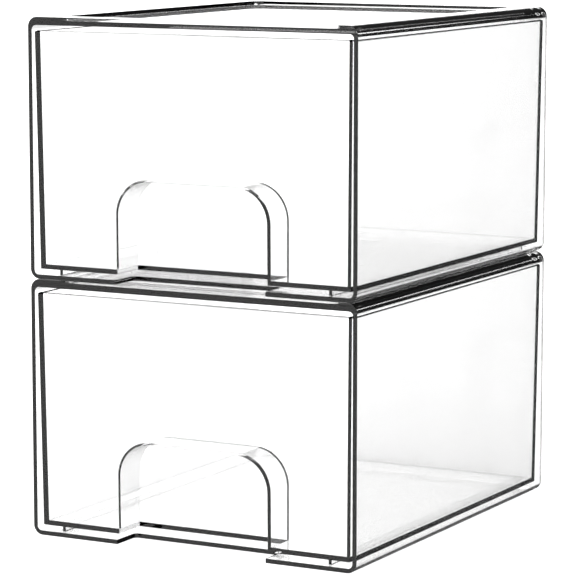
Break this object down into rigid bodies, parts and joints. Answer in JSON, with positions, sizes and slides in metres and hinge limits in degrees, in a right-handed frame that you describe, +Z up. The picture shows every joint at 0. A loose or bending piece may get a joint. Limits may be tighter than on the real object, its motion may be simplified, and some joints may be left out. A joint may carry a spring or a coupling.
{
  "type": "stackable drawer box",
  "caption": "Clear plastic storage casings that stack on a raised ridge, each holding a pull-out drawer with an arched finger recess in its front.",
  "frame": {"origin": "middle of the footprint, on the surface the stack stands on", "axes": "+Z up, -Y the way the drawers pull out, +X to the right as seen from the front"},
  "size_m": [0.16, 0.1956, 0.228],
  "materials": {
    "casing_plastic": "clear, polished",
    "drawer_plastic": "clear, polished"
  },
  "bodies": {
    "lower_casing": {"lower_casing": "casing_plastic"},
    "lower_drawer": {"lower_drawer": "drawer_plastic"},
    "upper_casing": {"upper_casing": "casing_plastic"},
    "upper_drawer": {"upper_drawer": "drawer_plastic"}
  },
  "joints": [
    {"name": "lower_drawer_slide", "type": "slide", "parent": "lower_casing", "child": "lower_drawer", "axis": [0, -1, 0], "range_m": [0, 0.17]},
    {"name": "upper_unit_lift", "type": "slide", "parent": "lower_casing", "child": "upper_casing", "axis": [0, 0, 1], "range_m": [0, 0.04]},
    {"name": "upper_drawer_slide", "type": "slide", "parent": "upper_casing", "child": "upper_drawer", "axis": [0, -1, 0], "range_m": [0, 0.17]}
  ]
}
